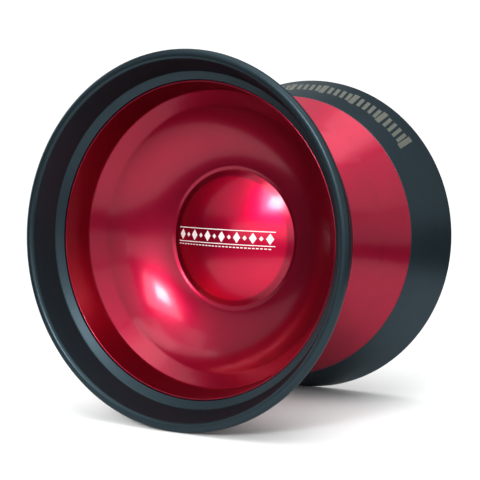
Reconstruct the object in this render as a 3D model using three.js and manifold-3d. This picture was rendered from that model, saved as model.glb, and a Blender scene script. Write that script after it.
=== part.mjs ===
// Bi-metal competition yo-yo: two aluminium halves with steel weight rings, joined by a
// threaded axle through a ball bearing. Millimetres, +Z up.
//
// Frame: the spin axis is the Y axis and the origin is the centre of the bearing. The front
// half lies on the -Y side and the rear half on the +Y side. Every turned piece is drawn as
// an outline of [radius, height] points, where height is the distance from the mid-plane
// towards that half's cup.

import * as THREE from 'three';
import { mergeVertices } from 'three/addons/utils/BufferGeometryUtils.js';
import Module from 'manifold-3d';

// ---- overall size ----
const RIM_RADIUS = 28; // outermost radius of the weight rings
const HALF_WIDTH = 22.13; // mid-plane to the flat land on a ring's lip
const RUNNING_GAP = 0.05; // between pieces that sit on each other

// ---- weight ring ----
const LIP_ROUND = 0.8; // rounding along the ring's lip
const LIP_LAND = 0.36; // width of the flat land on the lip
const RING_BASE = [24.35, 11.95]; // outer corner where the ring meets the aluminium
const RING_KNEE = [25.23, 17.95]; // cup side: the flare turns into the inner chamfer
const RING_SEAT_RADIUS = 24.0; // press seat between ring and body
const RING_TOP = 17.1; // inner end of the ring, beside the body's flange

// ---- body, string side ----
const HUB_FACE = 2.25; // flat around the bearing and the response pad
const POST_RADIUS = 3.13; // bearing seat
const POST_END = 0.25;
const POST_CHAMFER = 0.3;
const BEARING_SHOULDER = [3.8, 2.4]; // radius and height of the step the inner race rests on
const BEARING_WELL = [6.6, 2.75]; // recess that keeps the outer race clear of the body
const CATCH_START = 10.3; // radius where the catch zone begins
const CATCH_SLOPE = 14; // degrees at its start
const CREASE = [21.0, 8.8]; // ridge between the catch zone and the outer step

// ---- body, cup side ----
const DOME_RADIUS = 11.05;
const DOME_EDGE = 4.1;
const DOME_APEX = 6.4;
const BOWL_START = [11.6, 4.32];
const BOWL_SLOPE = 9; // degrees, where the bowl leaves the dome's groove
const BOWL_END = [20.95, 9.8];
const BAND_END = [23.1, 11.95]; // step between the bowl and the steep wall
const FLANGE_TIP = [23.74, 17.0];
const FLANGE_ROUND = 0.12;

// ---- response pad ----
const PAD_INNER = 7.25;
const PAD_OUTER = 9.5;
const PAD_FACE = 2.2;
const PAD_THICKNESS = 1.1;

// ---- axle: M4 set screw ----
const AXLE_RADIUS = 1.96;
const AXLE_LENGTH = 10;
const AXLE_CHAMFER = 0.35;
const AXLE_HOLE_RADIUS = 2.02;
const AXLE_HOLE_DEPTH = 5.45;
const HEX_ACROSS_FLATS = 2;
const HEX_DEPTH = 2;

// ---- ball bearing, 12.7 x 6.35 x 4.763 ----
const BEARING_OUTER = 6.35;
const BEARING_BORE = 3.175;
const BEARING_HALF_WIDTH = 2.38;
const RACE_CHAMFER = 0.2;
const OUTER_LAND = 5.4; // inner surface of the outer race
const INNER_LAND = 4.125; // outer surface of the inner race
const SHIELD_SEAT_RADIUS = 5.8;
const SHIELD_SEAT_DEPTH = 1.8;
const PITCH_RADIUS = 4.7625;
const BALL_RADIUS = 1.0;
const BALL_COUNT = 10;
const GROOVE_RADIUS = 1.07;
const CAGE_INNER = 4.4;
const CAGE_OUTER = 5.1;
const CAGE_LOW = -0.35;
const CAGE_HIGH = 1.4;
const POCKET_RADIUS = 1.12;
const SHIELD_INNER = 4.25;
const SHIELD_OUTER = 5.68;
const SHIELD_FACES = [1.87, 2.02];
const SNAP_RING_INNER = 5.42;
const SNAP_RING_FACES = [2.08, 2.24];
const SNAP_RING_GAP = 14; // degrees

// ---- facets ----
const BODY_SEGMENTS = 48;
const BEARING_SEGMENTS = 36;
const CAGE_SEGMENTS = 30;

const FRONT = -1;
const REAR = 1;
const DEGREE = Math.PI / 180;

const finishes = {
  red: { color: 0xa8122e, roughness: 0.32, metalness: 1 },
  black: { color: 0x1d2226, roughness: 0.35, metalness: 1 },
  silicone: { color: 0xd9d5cc, roughness: 0.8, metalness: 0 },
  steel: { color: 0xb9bcc0, roughness: 0.2, metalness: 1 },
  screw: { color: 0x8d9094, roughness: 0.35, metalness: 1 },
};

const wasm = await Module();
wasm.setup();

const yoyo = new THREE.Group();

function addPiece(name, geometry, finish) {
  const mesh = new THREE.Mesh(geometry, new THREE.MeshStandardMaterial(finishes[finish]));
  mesh.name = name;
  yoyo.add(mesh);
  return mesh;
}

// ---- outlines in [radius, height] ----

// Points of an arc that leaves `start` at `slope` degrees and ends at `end`.
function arcFrom(start, slope, end, steps) {
  const [dr, dh] = [end[0] - start[0], end[1] - start[1]];
  const [nr, nh] = [-Math.sin(slope * DEGREE), Math.cos(slope * DEGREE)];
  const radius = (dr * dr + dh * dh) / (2 * (dr * nr + dh * nh));
  const [cr, ch] = [start[0] + nr * radius, start[1] + nh * radius];
  const from = Math.atan2(start[1] - ch, start[0] - cr);
  const to = Math.atan2(end[1] - ch, end[0] - cr);
  return arcAbout([cr, ch], Math.abs(radius), from, to, steps);
}

function arcAbout([cr, ch], radius, from, to, steps) {
  const points = [];
  for (let i = 0; i <= steps; i += 1) {
    const angle = from + ((to - from) * i) / steps;
    points.push([cr + radius * Math.cos(angle), ch + radius * Math.sin(angle)]);
  }
  return points;
}

// Angle, seen from a circle's centre, of the point where a line from `outside` touches it.
function tangentAngle(centre, radius, outside, side) {
  const [dr, dh] = [outside[0] - centre[0], outside[1] - centre[1]];
  return Math.atan2(dh, dr) + side * Math.acos(radius / Math.hypot(dr, dh));
}

function signedArea(outline) {
  return outline.reduce((sum, [r, h], i) => {
    const [nextR, nextH] = outline[(i + 1) % outline.length];
    return sum + r * nextH - nextR * h;
  }, 0);
}

// Turns an outline about the Y axis, on one side of the mid-plane.
function turned(outline, side, segments) {
  let points = outline.map(([r, h]) => [r, side * h]);
  if (signedArea(points) < 0) points = points.reverse();
  const onAxis = points.findIndex(([r], i) => r === 0 && points.at(i - 1)[0] === 0);
  if (onAxis < 0) points.push(points[0]);
  else points = [...points.slice(onAxis), ...points.slice(0, onAxis)];
  const geometry = new THREE.LatheGeometry(
    points.map(([r, h]) => new THREE.Vector2(r, h)),
    segments,
  );
  geometry.rotateY(Math.PI / segments); // a flat facet, not an edge, faces down
  return geometry;
}

function annulus(inner, outer, low, high) {
  return [[inner, low], [outer, low], [outer, high], [inner, high]];
}

function ringOutline() {
  const centre = [RIM_RADIUS - LIP_ROUND, 0];
  const halfLand = LIP_LAND / 2;
  const landAngle = Math.acos(halfLand / LIP_ROUND);
  centre[1] = HALF_WIDTH - LIP_ROUND * Math.sin(landAngle);
  const outerTouch = tangentAngle(centre, LIP_ROUND, RING_BASE, 1);
  const innerTouch = tangentAngle(centre, LIP_ROUND, RING_KNEE, -1);
  const seat = RING_SEAT_RADIUS + RUNNING_GAP;
  return [
    [seat, RING_BASE[1] + RUNNING_GAP],
    RING_BASE,
    ...arcAbout(centre, LIP_ROUND, outerTouch, landAngle, 3),
    ...arcAbout(centre, LIP_ROUND, Math.PI - landAngle, innerTouch + 2 * Math.PI, 2),
    RING_KNEE,
    [seat, RING_TOP],
  ];
}

function stringSideOutline() {
  const padInner = PAD_INNER - RUNNING_GAP;
  const padOuter = PAD_OUTER + RUNNING_GAP;
  const padFloor = PAD_FACE + PAD_THICKNESS + RUNNING_GAP;
  return [
    [0, AXLE_HOLE_DEPTH],
    [AXLE_HOLE_RADIUS, AXLE_HOLE_DEPTH],
    [AXLE_HOLE_RADIUS, POST_END],
    [POST_RADIUS - POST_CHAMFER, POST_END],
    [POST_RADIUS, POST_END + POST_CHAMFER],
    [POST_RADIUS, BEARING_SHOULDER[1]],
    BEARING_SHOULDER,
    [BEARING_SHOULDER[0], BEARING_WELL[1]],
    BEARING_WELL,
    [BEARING_WELL[0], HUB_FACE],
    [padInner, HUB_FACE],
    [padInner, padFloor],
    [padOuter, padFloor],
    [padOuter, HUB_FACE],
    ...arcFrom([CATCH_START, HUB_FACE], CATCH_SLOPE, CREASE, 5),
    [RING_BASE[0], RING_BASE[1] - RUNNING_GAP],
    [RING_SEAT_RADIUS, RING_BASE[1]],
  ];
}

function cupSideOutline() {
  const sagitta = DOME_APEX - DOME_EDGE;
  const sphere = (DOME_RADIUS ** 2 + sagitta ** 2) / (2 * sagitta);
  const edgeAngle = Math.acos(DOME_RADIUS / sphere);
  return [
    [RING_SEAT_RADIUS, FLANGE_TIP[1] - FLANGE_ROUND],
    [RING_SEAT_RADIUS - FLANGE_ROUND, FLANGE_TIP[1]],
    FLANGE_TIP,
    BAND_END,
    BOWL_END,
    ...arcFrom(BOWL_START, BOWL_SLOPE, BOWL_END, 5).reverse().slice(1),
    ...arcAbout([0, DOME_APEX - sphere], sphere, edgeAngle, Math.PI / 2, 5).slice(0, -1),
    [0, DOME_APEX],
  ];
}

function addHalf(label, side) {
  const body = [...stringSideOutline(), ...cupSideOutline()];
  addPiece(`${label}_body`, turned(body, side, BODY_SEGMENTS), 'red');
  addPiece(`${label}_weight_ring`, turned(ringOutline(), side, BODY_SEGMENTS), 'black');
  const pad = annulus(PAD_INNER, PAD_OUTER, PAD_FACE, PAD_FACE + PAD_THICKNESS);
  addPiece(`${label}_response_pad`, turned(pad, side, BODY_SEGMENTS), 'silicone');
}

// ---- joins and cuts ----

function toSolid(geometry) {
  const bare = geometry.clone();
  bare.deleteAttribute('normal');
  bare.deleteAttribute('uv');
  const merged = mergeVertices(bare, 1e-4);
  return new wasm.Manifold(new wasm.Mesh({
    numProp: 3,
    vertProperties: merged.attributes.position.array,
    triVerts: Uint32Array.from(merged.index.array),
  }));
}

function toGeometry(solid) {
  const { vertProperties, triVerts } = solid.getMesh();
  const geometry = new THREE.BufferGeometry();
  geometry.setAttribute('position', new THREE.BufferAttribute(vertProperties, 3));
  geometry.setIndex(new THREE.BufferAttribute(triVerts, 1));
  geometry.computeVertexNormals();
  return geometry;
}

// A chamfered screw with a hex socket in each end.
function axleGeometry() {
  const end = AXLE_LENGTH / 2;
  const tip = AXLE_RADIUS - AXLE_CHAMFER;
  const outline = [
    [0, -end], [tip, -end], [AXLE_RADIUS, AXLE_CHAMFER - end],
    [AXLE_RADIUS, end - AXLE_CHAMFER], [tip, end], [0, end],
  ];
  let solid = toSolid(turned(outline, REAR, BEARING_SEGMENTS));
  const corner = HEX_ACROSS_FLATS / 2 / Math.cos(Math.PI / 6);
  const overshoot = 1;
  for (const side of [FRONT, REAR]) {
    const socket = new THREE.CylinderGeometry(corner, corner, HEX_DEPTH + overshoot, 6);
    socket.translate(0, side * (end - HEX_DEPTH / 2 + overshoot / 2), 0);
    solid = solid.subtract(toSolid(socket));
  }
  return toGeometry(solid);
}

function raceOutline(land, far, side) {
  const reach = Math.sqrt(GROOVE_RADIUS ** 2 - (land - PITCH_RADIUS) ** 2);
  const middle = side > 0 ? 0 : Math.PI;
  const half = Math.asin(reach / GROOVE_RADIUS);
  const groove = arcAbout([PITCH_RADIUS, 0], GROOVE_RADIUS, middle - half, middle + half, 4);
  const end = BEARING_HALF_WIDTH;
  const bevel = far - side * RACE_CHAMFER;
  const back = [[bevel, end], [far, end - RACE_CHAMFER], [far, RACE_CHAMFER - end], [bevel, -end]];
  if (side < 0) return [[land, -end], ...groove.reverse(), [land, end], ...back];
  const seat = SHIELD_SEAT_RADIUS;
  const depth = SHIELD_SEAT_DEPTH;
  return [
    [seat, -end], [seat, -depth], [land, -depth], ...groove,
    [land, depth], [seat, depth], [seat, end], ...back,
  ];
}

function ballCentre(index) {
  const angle = (2 * Math.PI * index) / BALL_COUNT;
  return new THREE.Vector3(PITCH_RADIUS * Math.cos(angle), 0, PITCH_RADIUS * Math.sin(angle));
}

// A crown cage: a ring with one open pocket for each ball.
function cageGeometry() {
  const outline = annulus(CAGE_INNER, CAGE_OUTER, CAGE_LOW, CAGE_HIGH);
  let solid = toSolid(turned(outline, REAR, CAGE_SEGMENTS));
  for (let i = 0; i < BALL_COUNT; i += 1) {
    const pocket = new THREE.SphereGeometry(POCKET_RADIUS, 10, 6);
    pocket.translate(...ballCentre(i).toArray());
    solid = solid.subtract(toSolid(pocket));
  }
  return toGeometry(solid);
}

// An open ring of flat wire that holds a shield in the outer race.
function snapRingGeometry() {
  const half = (SNAP_RING_GAP / 2) * DEGREE;
  const outer = SHIELD_SEAT_RADIUS - RUNNING_GAP;
  const shape = new THREE.Shape();
  shape.absarc(0, 0, outer, half, 2 * Math.PI - half, false);
  shape.absarc(0, 0, SNAP_RING_INNER, 2 * Math.PI - half, half, true);
  shape.closePath();
  const depth = SNAP_RING_FACES[1] - SNAP_RING_FACES[0];
  return new THREE.ExtrudeGeometry(shape, { depth, bevelEnabled: false, curveSegments: 26 });
}

function addBearing() {
  const outer = raceOutline(OUTER_LAND, BEARING_OUTER, 1);
  const inner = raceOutline(INNER_LAND, BEARING_BORE, -1);
  addPiece('bearing_outer_race', turned(outer, REAR, BEARING_SEGMENTS), 'steel');
  addPiece('bearing_inner_race', turned(inner, REAR, BEARING_SEGMENTS), 'steel');
  addPiece('ball_cage', cageGeometry(), 'screw');
  for (let i = 0; i < BALL_COUNT; i += 1) {
    const ball = addPiece(`ball_${i + 1}`, new THREE.SphereGeometry(BALL_RADIUS, 12, 8), 'steel');
    ball.position.copy(ballCentre(i));
  }
  for (const [label, side] of [['front', FRONT], ['rear', REAR]]) {
    const shield = annulus(SHIELD_INNER, SHIELD_OUTER, ...SHIELD_FACES);
    addPiece(`${label}_bearing_shield`, turned(shield, side, BEARING_SEGMENTS), 'steel');
    const snapRing = addPiece(`${label}_snap_ring`, snapRingGeometry(), 'screw');
    snapRing.rotation.x = (side * -Math.PI) / 2;
    snapRing.position.y = side * SNAP_RING_FACES[0];
  }
}

addHalf('front', FRONT);
addHalf('rear', REAR);
addPiece('axle', axleGeometry(), 'screw');
addBearing();

export default yoyo;
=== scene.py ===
# The looks of a bi-metal yo-yo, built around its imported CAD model.
#
# The spin axis is Y, the front half is on the -Y side, and the origin is the centre of the
# bearing. Outlines are in millimetres, as [radius, height], where height is the distance
# from the mid-plane towards that half's cup. Blender objects are in metres.

import math

import bmesh
import bpy
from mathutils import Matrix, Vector


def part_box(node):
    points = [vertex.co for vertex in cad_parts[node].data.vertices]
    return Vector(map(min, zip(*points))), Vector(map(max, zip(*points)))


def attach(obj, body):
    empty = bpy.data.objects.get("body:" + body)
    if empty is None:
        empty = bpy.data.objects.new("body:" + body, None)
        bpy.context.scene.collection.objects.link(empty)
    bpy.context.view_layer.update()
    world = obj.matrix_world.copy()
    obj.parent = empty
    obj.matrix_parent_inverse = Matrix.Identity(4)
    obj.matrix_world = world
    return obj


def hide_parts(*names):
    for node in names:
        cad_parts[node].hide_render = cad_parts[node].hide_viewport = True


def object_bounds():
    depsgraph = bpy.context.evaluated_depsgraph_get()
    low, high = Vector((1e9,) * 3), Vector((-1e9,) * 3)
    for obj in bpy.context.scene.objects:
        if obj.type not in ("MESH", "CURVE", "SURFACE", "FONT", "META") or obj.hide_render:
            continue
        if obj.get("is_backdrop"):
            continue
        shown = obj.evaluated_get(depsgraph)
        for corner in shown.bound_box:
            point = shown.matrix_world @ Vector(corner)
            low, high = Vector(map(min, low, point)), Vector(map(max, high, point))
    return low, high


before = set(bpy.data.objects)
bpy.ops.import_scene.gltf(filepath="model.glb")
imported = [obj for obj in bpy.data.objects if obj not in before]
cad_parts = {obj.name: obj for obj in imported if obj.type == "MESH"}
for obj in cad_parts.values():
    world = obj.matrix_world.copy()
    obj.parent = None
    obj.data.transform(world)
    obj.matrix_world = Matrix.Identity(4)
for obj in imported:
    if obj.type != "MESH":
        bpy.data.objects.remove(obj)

cad_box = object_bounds()

MM = 0.001
FRONT, REAR = -1, 1
HALVES = (("front", FRONT), ("rear", REAR))

# ---- sizes read from the frame, in mm ----

BODY_FACETS = 48  # the CAD's turned bodies have this many sides, with flats towards the axes
BEARING_FACETS = 36


def true_radius(node, facets):
    """The radius of the circle that a faceted node's corners lie on."""
    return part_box(node)[1].z / MM / math.cos(math.pi / facets)


def height(node, end):
    """How far from the mid-plane a node's nearest (end 0) or furthest (end 1) face is.

    It holds for nodes that lie on one side of the mid-plane, and end 1 for those that span it.
    """
    low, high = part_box(node)
    return sorted((abs(low.y), abs(high.y)))[end] / MM


RIM_RADIUS = true_radius("front_weight_ring", BODY_FACETS)
HALF_WIDTH = height("front_weight_ring", 1)
RING_BASE = (true_radius("front_body", BODY_FACETS), height("front_weight_ring", 0))
FLANGE_HEIGHT = height("front_body", 1)
POST_END = height("front_body", 0)
PAD_OUTER = true_radius("front_response_pad", BODY_FACETS)
PAD_FACE = height("front_response_pad", 0)
PAD_FLOOR = height("front_response_pad", 1)
AXLE_RADIUS = true_radius("axle", BEARING_FACETS)
AXLE_END = height("axle", 1)
BEARING_OUTER = true_radius("bearing_outer_race", BEARING_FACETS)
BEARING_END = height("bearing_outer_race", 1)
INNER_LAND = true_radius("bearing_inner_race", BEARING_FACETS)
SHIELD_OUTER = true_radius("front_bearing_shield", BEARING_FACETS)
SHIELD_FACES = (height("front_bearing_shield", 0), height("front_bearing_shield", 1))
SNAP_RING_FACES = (height("front_snap_ring", 0), height("front_snap_ring", 1))

# ---- sizes of the shapes between them, in mm ----

GAP = 0.05
SEAT_RADIUS = 24.0
LIP_ROUND = 0.8
LIP_LAND = 0.36
RING_KNEE = (25.23, 17.95)
RING_TOP = 17.1
HUB_FACE = 2.25
POST_RADIUS = 3.13
SHOULDER = (3.8, 2.4)
WELL = (6.6, 2.75)
CATCH_START = 10.3
CATCH_SLOPE = 14
CREASE = (21.0, 8.8)
DOME_RADIUS = 11.05
DOME_EDGE = 4.1
DOME_APEX = 6.4
BOWL_START = (11.6, 4.32)
BOWL_SLOPE = 9
BOWL_END = (20.95, 9.8)
BAND_END = (23.1, 11.95)
FLANGE_TIP = 23.74
PAD_INNER = 7.25
AXLE_HOLE = (2.02, 5.45)
BEARING_BORE = 3.175
OUTER_LAND = 5.4
PITCH_RADIUS = 4.7625
BALL_RADIUS = 1.0
BALL_COUNT = 10
GROOVE_RADIUS = 1.07
SHIELD_SEAT = (5.8, 1.8)
SHIELD_INNER = 4.25
SNAP_RING_INNER = 5.42
SNAP_RING_OUTER = 5.75
SNAP_RING_GAP = 14  # degrees
THREAD_PITCH = 0.7
THREAD_DEPTH = 0.4
THREAD_STEEPNESS = 1.35
THREAD_ROOT = 0.15  # taken off the height of its sides, which leaves the root flat
THREAD_MARGIN = 0.05
HEX_ACROSS_FLATS = 2.0
HEX_DEPTH = 2.0
HEX_TIP = 0.3
HEX_CHAMFER = 0.1
RACE_ROUND = 0.3
LAND_ROUND = 0.12
SHIELD_ROUND = 0.05
WIRE_ROUND = 0.04

BODY_SEGMENTS = 256
BEARING_SEGMENTS = 128
AXLE_SEGMENTS = 96
BALL_SEGMENTS = 48
THREAD_STEPS = 14  # rings of points in each turn of the thread
WIRE_STEPS = 110
SUPPORT = 1.6  # how many roundings away from a corner its shading support stands


# ---- outlines ----


def arc_about(centre, radius, start, end, steps):
    """Points of an arc about centre, from one angle to another, in radians."""
    angles = [start + (end - start) * i / steps for i in range(steps + 1)]
    return [(centre[0] + radius * math.cos(a), centre[1] + radius * math.sin(a)) for a in angles]


def arc_from(start, slope, end, steps):
    """Points of an arc that leaves start at slope degrees and ends at end."""
    along = Vector(end) - Vector(start)
    normal = Vector((-math.sin(math.radians(slope)), math.cos(math.radians(slope))))
    radius = along.length_squared / (2 * along.dot(normal))
    centre = Vector(start) + normal * radius
    first, last = Vector(start) - centre, Vector(end) - centre
    return arc_about(centre, abs(radius), math.atan2(first.y, first.x), math.atan2(last.y, last.x), steps)


def along_outline(points, corner, step, distance):
    """The point this far along a closed outline from a corner, and how many corners it passes."""
    here, passed = Vector(points[corner]), 0
    while True:
        following = Vector(points[(corner + step * (passed + 1)) % len(points)])
        stretch = (following - here).length
        if stretch >= distance:
            return here + (following - here) * (distance / stretch), passed
        distance -= stretch
        here, passed = following, passed + 1


def eased(points, corners, steps=5):
    """A closed outline with corners rounded: corners maps a point to its rounding, in mm.

    A rounding starts and ends that far from its corner. One more point on each side of it
    keeps the shading of the flat stretches flat.
    """
    dropped, rounded = set(), {}
    for corner, size in corners.items():
        index = points.index(corner)
        for step in (-1, 1):
            _, passed = along_outline(points, index, step, SUPPORT * size)
            dropped |= {(index + step * n) % len(points) for n in range(passed + 1)}
        before, after = (along_outline(points, index, step, size)[0] for step in (-1, 1))
        support = [along_outline(points, index, step, SUPPORT * size)[0] for step in (-1, 1)]
        middle = Vector(corner)
        curve = [
            before * (1 - t) ** 2 + middle * (2 * t * (1 - t)) + after * t**2
            for t in (i / steps for i in range(steps + 1))
        ]
        rounded[index] = [tuple(p) for p in (support[0], *curve, support[1])]
    result = []
    for index, point in enumerate(points):
        if index in rounded:
            result += rounded[index]
        elif index not in dropped:
            result.append(point)
    return result


def annulus(inner, outer, low, high):
    return [(inner, low), (outer, low), (outer, high), (inner, high)]


def touch_angle(centre, radius, outside, side):
    """Angle, from a circle's centre, of the point where a line from outside touches it."""
    away = Vector(outside) - Vector(centre)
    return math.atan2(away.y, away.x) + side * math.acos(radius / away.length)


def lip_rounding():
    """Centre of the rim's rounded lip, and the angle from there to the outer edge of its flat land."""
    land_angle = math.acos(LIP_LAND / 2 / LIP_ROUND)
    return (RIM_RADIUS - LIP_ROUND, HALF_WIDTH - LIP_ROUND * math.sin(land_angle)), land_angle


def ring_outline():
    centre, land_angle = lip_rounding()
    outer_touch = touch_angle(centre, LIP_ROUND, RING_BASE, 1)
    inner_touch = touch_angle(centre, LIP_ROUND, RING_KNEE, -1) + 2 * math.pi
    seat = SEAT_RADIUS + GAP
    points = [
        (seat, RING_BASE[1] + GAP),
        RING_BASE,
        *arc_about(centre, LIP_ROUND, outer_touch, land_angle, 14),
        *arc_about(centre, LIP_ROUND, math.pi - land_angle, inner_touch, 12),
        RING_KNEE,
        (seat, RING_TOP),
    ]
    return eased(points, {RING_BASE: 0.1, RING_KNEE: 0.14, (seat, RING_TOP): 0.07})


def dome_sphere():
    """Radius of the sphere that the dome is a cap of."""
    sagitta = DOME_APEX - DOME_EDGE
    return (DOME_RADIUS**2 + sagitta**2) / (2 * sagitta)


def body_outline():
    pad_inner, pad_outer, pad_floor = PAD_INNER - GAP, PAD_OUTER + GAP, PAD_FLOOR + GAP
    sphere = dome_sphere()
    catch = arc_from((CATCH_START, HUB_FACE), CATCH_SLOPE, CREASE, 40)
    bowl = arc_from(BOWL_START, BOWL_SLOPE, BOWL_END, 40)
    dome_start = math.acos(DOME_RADIUS / sphere)
    dome = arc_about((0, DOME_APEX - sphere), sphere, dome_start, math.pi / 2, 48)
    corners = {
        (AXLE_HOLE[0], POST_END): 0.12,
        (POST_RADIUS, POST_END): 0.3,
        (POST_RADIUS, SHOULDER[1]): 0.06,
        SHOULDER: 0.06,
        WELL: 0.12,
        (WELL[0], HUB_FACE): 0.12,
        (pad_inner, HUB_FACE): 0.08,
        (pad_outer, HUB_FACE): 0.08,
        catch[0]: 0.6,
        catch[-1]: 0.16,
        (RING_BASE[0], RING_BASE[1] - GAP): 0.1,
        (SEAT_RADIUS, FLANGE_HEIGHT): 0.1,
        (FLANGE_TIP, FLANGE_HEIGHT): 0.09,
        BAND_END: 0.22,
        bowl[-1]: 0.3,
        bowl[0]: 0.14,
        dome[0]: 0.14,
    }
    points = [
        (0.0, AXLE_HOLE[1]),
        AXLE_HOLE,
        (AXLE_HOLE[0], POST_END),
        (POST_RADIUS, POST_END),
        (POST_RADIUS, SHOULDER[1]),
        SHOULDER,
        (SHOULDER[0], WELL[1]),
        WELL,
        (WELL[0], HUB_FACE),
        (pad_inner, HUB_FACE),
        (pad_inner, pad_floor),
        (pad_outer, pad_floor),
        (pad_outer, HUB_FACE),
        *catch,
        (RING_BASE[0], RING_BASE[1] - GAP),
        (SEAT_RADIUS, RING_BASE[1]),
        (SEAT_RADIUS, FLANGE_HEIGHT),
        (FLANGE_TIP, FLANGE_HEIGHT),
        BAND_END,
        *reversed(bowl),
        *dome[:-1],
        (0.0, DOME_APEX),
    ]
    return eased(points, corners)


# ---- meshes ----


def new_piece(name, vertices, faces, material):
    """A smooth mesh object with its normals pointing out; vertices are in mm."""
    mesh = bpy.data.meshes.new(name)
    mesh.from_pydata([Vector(v) * MM for v in vertices], [], faces)
    cleaned = bmesh.new()
    cleaned.from_mesh(mesh)
    bmesh.ops.recalc_face_normals(cleaned, faces=cleaned.faces)
    cleaned.to_mesh(mesh)
    cleaned.free()
    mesh.shade_smooth()
    mesh.set_sharp_from_angle(angle=math.radians(40))
    mesh.materials.append(material)
    piece = bpy.data.objects.new(name, mesh)
    bpy.context.scene.collection.objects.link(piece)
    return piece


def stand_for(piece, node, body):
    """The piece takes the CAD node's place and rides on its body."""
    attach(piece, body)
    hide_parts(node)
    return piece


def turned(name, outline, side, segments, material, centre=(0, 0, 0)):
    """A closed outline turned about the Y axis. One that touches the axis starts and ends there."""
    vertices, rows = [], []
    for radius, away in outline:
        count = segments if radius > 0 else 1
        rows.append([len(vertices) + i for i in range(count)])
        for i in range(count):
            angle = 2 * math.pi * i / segments
            place = (radius * math.cos(angle), side * away, radius * math.sin(angle))
            vertices.append(Vector(centre) + Vector(place))
    faces = []
    if outline[0][0] > 0:
        rows.append(rows[0])
    for row, following in zip(rows, rows[1:]):
        for i in range(segments):
            j = (i + 1) % segments
            near = (row[i % len(row)], row[j % len(row)])
            far = (following[j % len(following)], following[i % len(following)])
            faces.append(list(dict.fromkeys((*near, *far))))
    return new_piece(name, vertices, faces, material)


def skinned(name, rows, material):
    """A closed mesh over rings of equally many points, between two ends that are single points."""
    vertices = [point for row in rows for point in row]
    starts = [sum(len(row) for row in rows[:i]) for i in range(len(rows))]
    faces = []
    for row, following, a, b in zip(rows, rows[1:], starts, starts[1:]):
        count = max(len(row), len(following))
        for i in range(count):
            j = (i + 1) % count
            near = (a + i % len(row), a + j % len(row))
            far = (b + j % len(following), b + i % len(following))
            faces.append(list(dict.fromkeys((*near, *far))))
    return new_piece(name, vertices, faces, material)


# ---- materials ----

# Where painted shade darkens a half's red, in metres. Each edge is the start and the end of a soft
# change.
STEP_EDGE = (0.0208, 0.0213)  # in radius
WALL_EDGE = (0.0225, 0.0229)  # in radius
STEP_DARKNESS = 0.62  # share of the wall's painted shade that the step gets
CUP_SIDE_EDGE = (-0.0118, -0.0116)  # in height less radius
PAD_EDGE = (0.0098, 0.0102)  # in radius
STRING_SLOPE = 0.6
STRING_SIDE_EDGE = (-0.0038, -0.0036)  # in STRING_SLOPE times radius, less height


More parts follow.
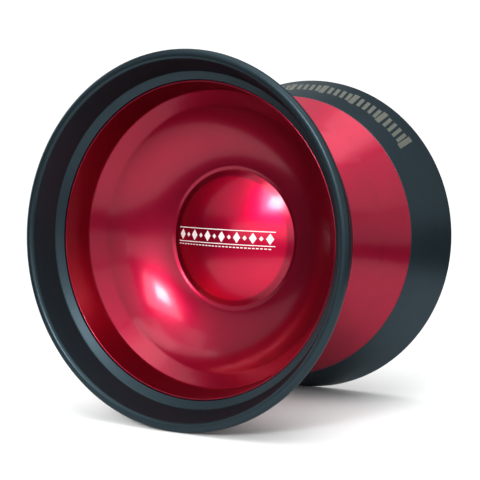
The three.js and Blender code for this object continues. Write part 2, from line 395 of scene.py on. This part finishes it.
class Shader:
    """A Principled material and short ways to add nodes to it. Lengths are in metres."""

    def __init__(self, name, **sockets):
        self.material = bpy.data.materials.new(name)
        self.material.use_nodes = True
        self.tree = self.material.node_tree
        self.surface = self.tree.nodes["Principled BSDF"]
        for socket, value in sockets.items():
            label = socket.replace("_", " ").title().replace("Ior", "IOR")
            self.surface.inputs[label].default_value = value
        self.place = self.tree.nodes.new("ShaderNodeTexCoord").outputs["Object"]

    def link(self, source, target):
        self.tree.links.new(source, target)

    def math(self, operation, *values):
        node = self.tree.nodes.new("ShaderNodeMath")
        node.operation = operation
        for socket, value in zip(node.inputs, values):
            if isinstance(value, (int, float)):
                socket.default_value = value
            else:
                self.link(value, socket)
        return node.outputs[0]

    def noise(self, scale, detail=2.0, roughness=0.5, place=None):
        node = self.tree.nodes.new("ShaderNodeTexNoise")
        node.inputs["Scale"].default_value = scale
        node.inputs["Detail"].default_value = detail
        node.inputs["Roughness"].default_value = roughness
        self.link(place or self.place, node.inputs["Vector"])
        return node.outputs["Fac"]

    def radius_and_along(self):
        """Distance from the spin axis, and place along it."""
        parts = self.tree.nodes.new("ShaderNodeSeparateXYZ")
        self.link(self.place, parts.inputs[0])
        squares = [self.math("MULTIPLY", parts.outputs[i], parts.outputs[i]) for i in (0, 2)]
        return self.math("SQRT", self.math("ADD", *squares)), parts.outputs[1]

    def turning(self, scale):
        """Noise that changes only across the tool's path on a turned face."""
        radius, along = self.radius_and_along()
        joined = self.tree.nodes.new("ShaderNodeCombineXYZ")
        self.link(radius, joined.inputs[0])
        self.link(along, joined.inputs[1])
        return self.noise(scale, 3.0, 0.6, joined.outputs[0])

    def ranged(self, value, low, high):
        node = self.tree.nodes.new("ShaderNodeMapRange")
        node.inputs["From Min"].default_value = 0.3
        node.inputs["From Max"].default_value = 0.7
        node.inputs["To Min"].default_value = low
        node.inputs["To Max"].default_value = high
        self.link(value, node.inputs["Value"])
        return node.outputs["Result"]

    def mixed(self, value, first, second):
        node = self.tree.nodes.new("ShaderNodeMix")
        node.data_type = "RGBA"
        self.link(value, node.inputs["Factor"])
        node.inputs[6].default_value = (*first, 1)
        node.inputs[7].default_value = (*second, 1)
        return node.outputs[2]

    def joined(self, value, first, second):
        """One colour output going over into another as value goes from 0 to 1."""
        node = self.tree.nodes.new("ShaderNodeMix")
        node.data_type = "RGBA"
        for socket, source in {"Factor": value, 6: first, 7: second}.items():
            self.link(source, node.inputs[socket])
        return node.outputs[2]

    def ramp(self, value, start, end, low=0.0, high=1.0):
        """Goes evenly from low to high as value goes from start to end, and stays there."""
        node = self.tree.nodes.new("ShaderNodeMapRange")
        limits = {"From Min": start, "From Max": end, "To Min": low, "To Max": high}
        for name, limit in limits.items():
            node.inputs[name].default_value = limit
        self.link(value, node.inputs["Value"])
        return node.outputs["Result"]

    def wall_shade(self):
        """Mask of painted shade: 1 on the cup's steep wall, less on the step below it, and 0 on the rest
        of a half.
        """
        radius, along = self.radius_and_along()
        cup_side = self.math("SUBTRACT", self.math("ABSOLUTE", along), radius)
        on_cup_side = self.ramp(cup_side, *CUP_SIDE_EDGE)
        step = self.ramp(radius, *STEP_EDGE, 0.0, STEP_DARKNESS)
        wall = self.ramp(radius, *WALL_EDGE, 0.0, 1 - STEP_DARKNESS)
        return self.math("MULTIPLY", on_cup_side, self.math("ADD", step, wall))

    def string_side_shade(self):
        """Mask of painted shade: 1 on a half's string side, from the pad outwards, and 0 on the rest of
        the half.
        """
        radius, along = self.radius_and_along()
        sloping = self.math("MULTIPLY", radius, STRING_SLOPE)
        towards_string = self.math("SUBTRACT", sloping, self.math("ABSOLUTE", along))
        outside_pad = self.ramp(radius, *PAD_EDGE)
        return self.math("MULTIPLY", outside_pad, self.ramp(towards_string, *STRING_SIDE_EDGE))

    def set(self, socket, value):
        self.link(value, self.surface.inputs[socket])

    def grain_round_axis(self):
        """The reflections stretch across the tool's path, as on any turned face."""
        tangent = self.tree.nodes.new("ShaderNodeTangent")
        tangent.direction_type = "RADIAL"
        tangent.axis = "Y"
        self.set("Tangent", tangent.outputs["Tangent"])

    def bump(self, *layers):
        """Bumps from (height, distance in metres) layers, one over the other."""
        normal = None
        for value, distance in layers:
            node = self.tree.nodes.new("ShaderNodeBump")
            node.inputs["Distance"].default_value = distance
            self.link(value, node.inputs["Height"])
            if normal is not None:
                self.link(normal, node.inputs["Normal"])
            normal = node.outputs["Normal"]
        self.set("Normal", normal)


def anodised_red():
    """Satin turned aluminium under a red anodic film with a thin clear gloss.

    Painted shade makes the red darkest on the steep wall inside the rim, and darker on the
    string side than in the cup.
    """
    shader = Shader("anodised_red", metallic=1.0, coat_weight=0.42, coat_roughness=0.15, coat_ior=1.5)
    shader.surface.inputs["Anisotropic"].default_value = 0.2
    shader.surface.inputs["Anisotropic Rotation"].default_value = 0.25
    shader.grain_round_axis()
    cloud = shader.noise(260, 3.0)
    face = shader.mixed(cloud, (0.47, 0.002, 0.034), (0.52, 0.003, 0.04))
    # wall: the red with painted shade, for the steep wall and the step below it
    wall = shader.mixed(cloud, (0.058, 0.002, 0.011), (0.07, 0.003, 0.014))
    # catch: the red with painted shade, for the string side
    catch = shader.mixed(cloud, (0.225, 0.002, 0.02), (0.26, 0.003, 0.024))
    cup_side = shader.joined(shader.wall_shade(), face, wall)
    shader.set("Base Color", shader.joined(shader.string_side_shade(), cup_side, catch))
    shader.set("Roughness", shader.ranged(shader.noise(900, 4.0), 0.34, 0.38))
    blasted = shader.noise(16000, 2.0, 0.7)
    shader.bump((shader.turning(5000), 0.0000004), (blasted, 0.0000025))
    return shader.material


def black_steel():
    """Turned stainless steel with a satin black coating."""
    shader = Shader("black_steel", metallic=0.75, coat_weight=0.08, coat_roughness=0.3)
    shader.surface.inputs["Specular Tint"].default_value = (0.4, 0.45, 0.48, 1)
    black = shader.mixed(shader.noise(400, 3.0), (0.013, 0.024, 0.03), (0.016, 0.028, 0.035))
    shader.set("Base Color", black)
    shader.set("Roughness", shader.ranged(shader.turning(3000), 0.33, 0.4))
    shader.bump((shader.turning(9000), 0.0000006), (shader.noise(14000), 0.000001))
    return shader.material


def silicone():
    """Cast translucent silicone, slightly dusty from the string."""
    shader = Shader("silicone", metallic=0.0, subsurface_weight=0.25, subsurface_scale=0.0006)
    milky = shader.mixed(shader.noise(1500, 4.0), (0.68, 0.66, 0.61), (0.8, 0.79, 0.75))
    shader.set("Base Color", milky)
    shader.set("Roughness", shader.ranged(shader.noise(3000, 3.0), 0.5, 0.68))
    shader.bump((shader.noise(9000, 3.0), 0.000004))
    return shader.material


def bearing_steel():
    """Ground and polished bearing steel."""
    shader = Shader("bearing_steel", metallic=1.0)
    ground = shader.mixed(shader.noise(700, 3.0), (0.6, 0.6, 0.62), (0.7, 0.7, 0.71))
    shader.set("Base Color", ground)
    shader.set("Roughness", shader.ranged(shader.turning(8000), 0.14, 0.24))
    shader.bump((shader.turning(20000), 0.0000004))
    return shader.material


def screw_steel():
    """Zinc-bright steel of the screw, the cage and the snap rings."""
    shader = Shader("screw_steel", metallic=1.0)
    zinc = shader.mixed(shader.noise(1200, 4.0), (0.36, 0.36, 0.37), (0.5, 0.5, 0.5))
    shader.set("Base Color", zinc)
    shader.set("Roughness", shader.ranged(shader.noise(4000, 3.0), 0.28, 0.42))
    shader.bump((shader.noise(12000, 3.0), 0.000002))
    return shader.material


def laser_mark():
    """Aluminium laid bare by a laser: pale, matt and finely grained."""
    shader = Shader("laser_mark", metallic=0.55)
    bared = shader.mixed(shader.noise(9000, 2.0), (0.75, 0.62, 0.64), (0.95, 0.9, 0.91))
    shader.set("Base Color", bared)
    shader.set("Roughness", shader.ranged(shader.noise(6000, 2.0), 0.5, 0.65))
    shader.bump((shader.noise(20000, 2.0), 0.000002))
    return shader.material


def laser_mark_on_steel():
    """The black coating burnt off by a laser, which leaves dull greyish steel."""
    shader = Shader("laser_mark_on_steel", metallic=0.6)
    burnt = shader.mixed(shader.noise(9000, 2.0), (0.075, 0.08, 0.068), (0.12, 0.125, 0.108))
    shader.set("Base Color", burnt)
    shader.set("Roughness", shader.ranged(shader.noise(6000, 2.0), 0.5, 0.65))
    shader.bump((shader.noise(20000, 2.0), 0.000002))
    return shader.material


RED = anodised_red()
BLACK = black_steel()
SILICONE = silicone()
BEARING = bearing_steel()
SCREW = screw_steel()
MARK = laser_mark()
RING_MARK = laser_mark_on_steel()


# ---- the two halves ----


def add_half(label, side):
    body = f"{label}_half"
    shell = turned(f"{label}_shell", body_outline(), side, BODY_SEGMENTS, RED)
    stand_for(shell, f"{label}_body", body)
    ring = turned(f"{label}_rim", ring_outline(), side, BODY_SEGMENTS, BLACK)
    stand_for(ring, f"{label}_weight_ring", body)
    outline = annulus(PAD_INNER, PAD_OUTER, PAD_FACE, PAD_FLOOR)
    soft_edges = {outline[0]: 0.12, outline[1]: 0.12}
    pad = turned(f"{label}_pad", eased(outline, soft_edges), side, BODY_SEGMENTS, SILICONE)
    stand_for(pad, f"{label}_response_pad", body)


for label, side in HALVES:
    add_half(label, side)


# ---- axle ----


def circle_row(radius, y, count):
    angles = [2 * math.pi * i / count for i in range(count)]
    return [(radius * math.cos(a), y, radius * math.sin(a)) for a in angles]


def hexagon_row(across, y, count):
    """Points on a hexagon at the same angles as a circle's, with one at each corner."""
    sixth = math.pi / 3
    row = []
    for i in range(count):
        angle = 2 * math.pi * i / count
        radius = across / 2 / math.cos((angle + sixth / 2) % sixth - sixth / 2)
        row.append((radius * math.cos(angle + sixth / 2), y, radius * math.sin(angle + sixth / 2)))
    return row


def thread_row(y, count):
    """One ring of a right-hand thread: its radius goes once down and up again in each turn."""
    row = []
    for i in range(count):
        turn = i / count
        phase = (y / THREAD_PITCH + turn) % 1
        depth = min(1, max(0, THREAD_STEEPNESS * abs(2 * phase - 1) - THREAD_ROOT))
        fade = min(1, max(0, (AXLE_END - abs(y)) / THREAD_PITCH))
        radius = AXLE_RADIUS - THREAD_DEPTH * (1 - depth * fade)
        angle = 2 * math.pi * turn
        row.append((radius * math.cos(angle), y, radius * math.sin(angle)))
    return row


def add_axle():
    """A set screw with a hex socket in each end and one thread from end to end."""
    count = AXLE_SEGMENTS
    bottom = AXLE_END - HEX_DEPTH
    socket = [
        [(0, bottom - HEX_TIP, 0)],
        hexagon_row(HEX_ACROSS_FLATS * 0.9, bottom, count),
        hexagon_row(HEX_ACROSS_FLATS, bottom + HEX_CHAMFER, count),
        hexagon_row(HEX_ACROSS_FLATS, AXLE_END - HEX_CHAMFER, count),
        circle_row(HEX_ACROSS_FLATS * 0.62, AXLE_END, count),
        circle_row(AXLE_RADIUS - THREAD_DEPTH, AXLE_END, count),
    ]
    other_socket = [[(x, -y, z) for x, y, z in row] for row in reversed(socket)]
    steps = round(2 * AXLE_END / THREAD_PITCH * THREAD_STEPS)
    start = AXLE_END - THREAD_MARGIN
    length = 2 * start
    thread = [thread_row(start - length * i / steps, count) for i in range(steps + 1)]
    axle = skinned("threaded_axle", [*socket, *thread, *other_socket], SCREW)
    stand_for(axle, "axle", "front_half")


add_axle()


# ---- bearing ----


def race_outline(land, far, side):
    """A race from its land at the balls to its far face: the outer race on side 1, the inner on -1."""
    reach = math.sqrt(GROOVE_RADIUS**2 - (land - PITCH_RADIUS) ** 2)
    middle = 0 if side > 0 else math.pi
    half = math.asin(reach / GROOVE_RADIUS)
    groove = arc_about((PITCH_RADIUS, 0), GROOVE_RADIUS, middle - half, middle + half, 16)
    end = BEARING_END
    corners = {(far, end): RACE_ROUND, (far, -end): RACE_ROUND}
    if side < 0:
        points = [(land, -end), *reversed(groove), (land, end), (far, end), (far, -end)]
        corners |= {(land, end): LAND_ROUND, (land, -end): LAND_ROUND}
        return eased(points, corners)
    seat, depth = SHIELD_SEAT
    corners |= {(seat, end): LAND_ROUND, (seat, -end): LAND_ROUND}
    points = [
        (seat, -end), (seat, -depth), (land, -depth), *groove,
        (land, depth), (seat, depth), (seat, end), (far, end), (far, -end),
    ]
    return eased(points, corners)


def ball_centre(index):
    angle = 2 * math.pi * index / BALL_COUNT
    return PITCH_RADIUS * math.cos(angle), 0.0, PITCH_RADIUS * math.sin(angle)


def add_races():
    outline = race_outline(OUTER_LAND, BEARING_OUTER, 1)
    outer = turned("outer_race", outline, REAR, BEARING_SEGMENTS, BEARING)
    stand_for(outer, "bearing_outer_race", "bearing_outer")
    outline = race_outline(INNER_LAND, BEARING_BORE, -1)
    inner = turned("inner_race", outline, REAR, BEARING_SEGMENTS, BEARING)
    stand_for(inner, "bearing_inner_race", "bearing_core")


def add_balls():
    half_circle = arc_about((0, 0), BALL_RADIUS, -math.pi / 2, math.pi / 2, 24)
    half_circle = [(0.0, -BALL_RADIUS), *half_circle[1:-1], (0.0, BALL_RADIUS)]
    for index in range(BALL_COUNT):
        name = f"ball_{index + 1}"
        ball = turned(f"bearing_{name}", half_circle, REAR, BALL_SEGMENTS, BEARING, ball_centre(index))
        stand_for(ball, name, f"rolling_{name}")


def add_shields():
    low, high = SHIELD_FACES
    for label, side in HALVES:
        outline = annulus(SHIELD_INNER, SHIELD_OUTER, low, high)
        rounded = {corner: SHIELD_ROUND for corner in outline}
        shield = turned(f"{label}_shield", eased(outline, rounded), side, BEARING_SEGMENTS, BEARING)
        stand_for(shield, f"{label}_bearing_shield", "bearing_outer")


def turned_row(points, side, angle):
    """Points of an outline, turned about the Y axis to one angle."""
    return [(r * math.cos(angle), side * h, r * math.sin(angle)) for r, h in points]


def add_snap_rings():
    """Open rings of flat wire: a rectangle with soft corners swept round all but the gap."""
    low, high = SNAP_RING_FACES
    section = annulus(SNAP_RING_INNER, SNAP_RING_OUTER, low, high)
    section = eased(section, {corner: WIRE_ROUND for corner in section}, 3)
    middle = ((SNAP_RING_INNER + SNAP_RING_OUTER) / 2, (low + high) / 2)
    half = math.radians(SNAP_RING_GAP / 2)
    swept = 2 * math.pi - 2 * half
    for label, side in HALVES:
        angles = [half + swept * i / WIRE_STEPS for i in range(WIRE_STEPS + 1)]
        rows = [turned_row(section, side, angle) for angle in angles]
        ends = [turned_row([middle], side, angle) for angle in (angles[0], angles[-1])]
        wire = skinned(f"{label}_wire_ring", [ends[0], *rows, ends[1]], SCREW)
        stand_for(wire, f"{label}_snap_ring", "bearing_outer")


add_races()
add_balls()
add_shields()
add_snap_rings()

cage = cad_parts["ball_cage"]
cage.data.materials.clear()
cage.data.materials.append(SCREW)


# ---- laser marks ----

MARK_PROUD = 0.012
MARK_SUNK = 0.02
ORNAMENT_REACH = 9.1
ORNAMENT_TILT = -2.1  # degrees
ORNAMENT_RISE = 0.27
ORNAMENT_SHIFT = -0.8
HAIRLINE = 0.13
HAIRLINE_HEIGHTS = (1.1, -1.15)
DIAMOND_STEP = 1.38
DIAMOND_HEIGHT = 0.04
BIG_DIAMOND = (1.25, 1.75)
SMALL_DIAMOND = (0.7, 0.8)
DASH = 0.42
DASH_STEP = 0.66
DASH_SPAN = (-1.62, -1.46)
RIM_MARK_ARC = (35, 112)  # degrees round the rim
RIM_MARK_COUNT = 30
RIM_MARK_SLANT = 1.6  # degrees
LONG_MARK_EVERY = 5
SHORT_MARK = (1.5, 0.42, 0.74)  # width in degrees, and start and end as shares of the flare
LONG_MARK = (2.2, 0.38, 0.78)


def patch(corners, columns, rows, place):
    """Vertices and faces of a thin closed plate over a four-sided patch.

    place puts (u, v, lift) on the marked surface.
    """
    a, b, c, d = (Vector(p) for p in corners)
    vertices, faces = [], []
    for lift in (MARK_PROUD, -MARK_SUNK):
        for j in range(rows + 1):
            for i in range(columns + 1):
                s, t = i / columns, j / rows
                point = (a * (1 - s) + b * s) * (1 - t) + (d * (1 - s) + c * s) * t
                vertices.append(place(point.x, point.y, lift))
    wide = columns + 1
    layer = wide * (rows + 1)
    for j in range(rows):
        for i in range(columns):
            k = j * wide + i
            faces.append([k, k + 1, k + 1 + wide, k + wide])
            faces.append([layer + k, layer + k + wide, layer + k + 1 + wide, layer + k + 1])
    edge = list(range(wide))
    edge += [j * wide + columns for j in range(1, rows + 1)]
    edge += [rows * wide + i for i in range(columns - 1, -1, -1)]
    edge += [j * wide for j in range(rows - 1, 0, -1)]
    for k, following in zip(edge, edge[1:] + edge[:1]):
        faces.append([k, layer + k, layer + following, following])
    return vertices, faces


def marks(name, shapes, place, material):
    """One mesh of thin plates, each with its own four corners and divisions."""
    vertices, faces = [], []
    for corners, columns, rows in shapes:
        more, quads = patch(corners, columns, rows, place)
        faces += [[len(vertices) + k for k in quad] for quad in quads]
        vertices += more
    return new_piece(name, vertices, faces, material)


def bar(u0, v0, u1, v1, columns=2, rows=2):
    return [(u0, v0), (u1, v0), (u1, v1), (u0, v1)], columns, rows


def diamond(u, v, wide, tall):
    return [(u - wide / 2, v), (u, v - tall / 2), (u + wide / 2, v), (u, v + tall / 2)], 6, 6


def dome_ornament():
    """A band of diamonds between hairlines, with a fine dashed line below."""
    reach = ORNAMENT_REACH
    shapes = [bar(-reach, v, reach, v + HAIRLINE, 48, 1) for v in HAIRLINE_HEIGHTS]
    for i in range(-6, 7):
        size = SMALL_DIAMOND if i % 2 else BIG_DIAMOND
        shapes.append(diamond(i * DIAMOND_STEP, DIAMOND_HEIGHT, *size))
    for i in range(int(2 * reach / DASH_STEP)):
        u = -reach + i * DASH_STEP
        shapes.append(bar(u, DASH_SPAN[0], u + DASH, DASH_SPAN[1]))
    return shapes


def add_dome_mark(label, side):
    """The ornament on a dome. It is drawn as seen from outside that half."""
    sphere = dome_sphere()
    tilt = math.radians(ORNAMENT_TILT)

    def place(u, v, lift):
        x = u * math.cos(tilt) - v * math.sin(tilt) + ORNAMENT_SHIFT
        z = u * math.sin(tilt) + v * math.cos(tilt) + ORNAMENT_RISE
        away = DOME_APEX - sphere + math.sqrt((sphere + lift) ** 2 - x**2 - z**2)
        return (-side * x, side * away, z)

    mark = marks(f"{label}_dome_mark", dome_ornament(), place, MARK)
    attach(mark, f"{label}_half")


def add_rim_mark(label, side):
    """Slanted hash marks along part of the ring's outer flare."""
    centre, _ = lip_rounding()
    touch = touch_angle(centre, LIP_ROUND, RING_BASE, 1)
    start = Vector(RING_BASE)
    along = Vector(arc_about(centre, LIP_ROUND, touch, touch, 1)[0]) - start
    across = Vector((along.y, -along.x)).normalized()

    def place(angle, share, lift):
        r, h = start + along * share + across * lift
        return (r * math.cos(angle), side * h, r * math.sin(angle))

    shapes = []
    first, last = (math.radians(end) for end in RIM_MARK_ARC)
    slant = math.radians(RIM_MARK_SLANT)
    for i in range(RIM_MARK_COUNT):
        angle = first + (last - first) * i / (RIM_MARK_COUNT - 1)
        width, low, high = SHORT_MARK if i % LONG_MARK_EVERY else LONG_MARK
        end = angle + math.radians(width)
        corners = [(angle, low), (end, low), (end + slant, high), (angle + slant, high)]
        shapes.append((corners, 3, 4))
    mark = marks(f"{label}_rim_mark", shapes, place, RING_MARK)
    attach(mark, f"{label}_half")


for label, side in HALVES:
    add_dome_mark(label, side)
    add_rim_mark(label, side)


# ---- stage ----

FLOOR = -RIM_RADIUS * MM
TABLE_RADIUS = 0.098
FLOOR_SEGMENTS = 96
LIGHT_DISTANCE = 0.7

# Each light's azimuth and elevation, its width and height as seen from the yo-yo, all in
# degrees, and its brightness.
SOFTBOXES = (
    ("key", 10, 27, 27, 21, 8.5),
    ("key_core", 7, 24, 10, 8, 60.0),
    ("front_left", -42, 34, 44, 44, 0.8),
    ("front_high", -4, 50, 32, 22, 1.5),
    ("front_low", 8, 4, 66, 12, 2.0),
    ("right", 58, 32, 40, 34, 1.5),
    ("right_high", 58, 66, 50, 30, 2.1),
    ("right_low", 74, 4, 70, 20, 1.0),
    ("right_back", 108, 30, 46, 50, 1.0),
    ("overhead", 0, 90, 60, 60, 2.1),
    ("left", -95, 15, 50, 40, 2.6),
    ("back", 180, 35, 60, 50, 0.3),
    ("left_back", -135, 30, 46, 50, 0.5),
)

ROOM_COLOUR = (0.95, 0.98, 1.0, 1)
ROOM_STRENGTH = 0.1
BACKDROP_STRENGTH = 1.1

CAMERA_AZIMUTH, CAMERA_ELEVATION = 29.87, 2.10
CAMERA_PLACE = (80.49, -141.98, 5.57)  # mm
CAMERA_LENS, CAMERA_SENSOR = 74.27, 36


def floor_material():
    shader = Shader("white_table", roughness=0.6)
    pale = shader.mixed(shader.noise(40, 3.0), (0.8, 0.81, 0.81), (0.83, 0.84, 0.84))
    shader.set("Base Color", pale)
    return shader.material


def add_floor():
    """A round white table top under the yo-yo."""
    mesh = bpy.data.meshes.new("floor")
    edge = [2 * math.pi * i / FLOOR_SEGMENTS for i in range(FLOOR_SEGMENTS)]
    corners = [(TABLE_RADIUS * math.cos(a), TABLE_RADIUS * math.sin(a), FLOOR) for a in edge]
    mesh.from_pydata(corners, [], [range(len(corners))])
    mesh.materials.append(floor_material())
    floor = bpy.data.objects.new("floor", mesh)
    bpy.context.scene.collection.objects.link(floor)
    floor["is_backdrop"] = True


def direction(azimuth, elevation):
    """A direction from degrees: azimuth from the -Y axis towards +X, and elevation."""
    turn, rise = math.radians(azimuth), math.radians(elevation)
    return Vector((math.sin(turn) * math.cos(rise), -math.cos(turn) * math.cos(rise), math.sin(rise)))


def add_softbox(name, azimuth, elevation, wide, tall, brightness):
    """A soft area light that faces the yo-yo."""
    away = direction(azimuth, elevation)
    light = bpy.data.lights.new(name, "AREA")
    light.shape = "RECTANGLE"
    half_spreads = (math.radians(spread / 2) for spread in (wide, tall))
    light.size, light.size_y = (2 * LIGHT_DISTANCE * math.tan(half) for half in half_spreads)
    light.energy = math.pi * light.size * light.size_y * brightness
    lamp = bpy.data.objects.new(name, light)
    lamp.location = away * LIGHT_DISTANCE
    lamp.rotation_euler = away.to_track_quat("Z", "Y").to_euler()
    bpy.context.scene.collection.objects.link(lamp)


def add_world():
    """A dim room; only the camera sees it as a white backdrop."""
    world = bpy.data.worlds.new("studio")
    world.use_nodes = True
    tree = world.node_tree
    room = tree.nodes["Background"]
    room.inputs["Color"].default_value = ROOM_COLOUR
    room.inputs["Strength"].default_value = ROOM_STRENGTH
    backdrop = tree.nodes.new("ShaderNodeBackground")
    backdrop.inputs["Color"].default_value = (1, 1, 1, 1)
    backdrop.inputs["Strength"].default_value = BACKDROP_STRENGTH
    ray = tree.nodes.new("ShaderNodeLightPath")
    mix = tree.nodes.new("ShaderNodeMixShader")
    tree.links.new(ray.outputs["Is Camera Ray"], mix.inputs["Fac"])
    tree.links.new(room.outputs[0], mix.inputs[1])
    tree.links.new(backdrop.outputs[0], mix.inputs[2])
    tree.links.new(mix.outputs[0], tree.nodes["World Output"].inputs["Surface"])
    bpy.context.scene.world = world


def add_camera():
    back = direction(CAMERA_AZIMUTH, CAMERA_ELEVATION)
    camera = bpy.data.objects.new("camera", bpy.data.cameras.new("camera"))
    camera.data.sensor_width = CAMERA_SENSOR
    camera.data.lens = CAMERA_LENS
    camera.data.clip_start, camera.data.clip_end = 0.005, 20
    camera.location = Vector(CAMERA_PLACE) * MM
    camera.rotation_euler = back.to_track_quat("Z", "Y").to_euler()
    bpy.context.scene.collection.objects.link(camera)
    bpy.context.scene.camera = camera


add_floor()
for softbox in SOFTBOXES:
    add_softbox(*softbox)
add_world()
add_camera()
bpy.context.scene.view_settings.view_transform = "Standard"

boxes = {"cad": cad_box, "visual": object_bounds()}
{name: [list(corner) for corner in box] for name, box in boxes.items()}
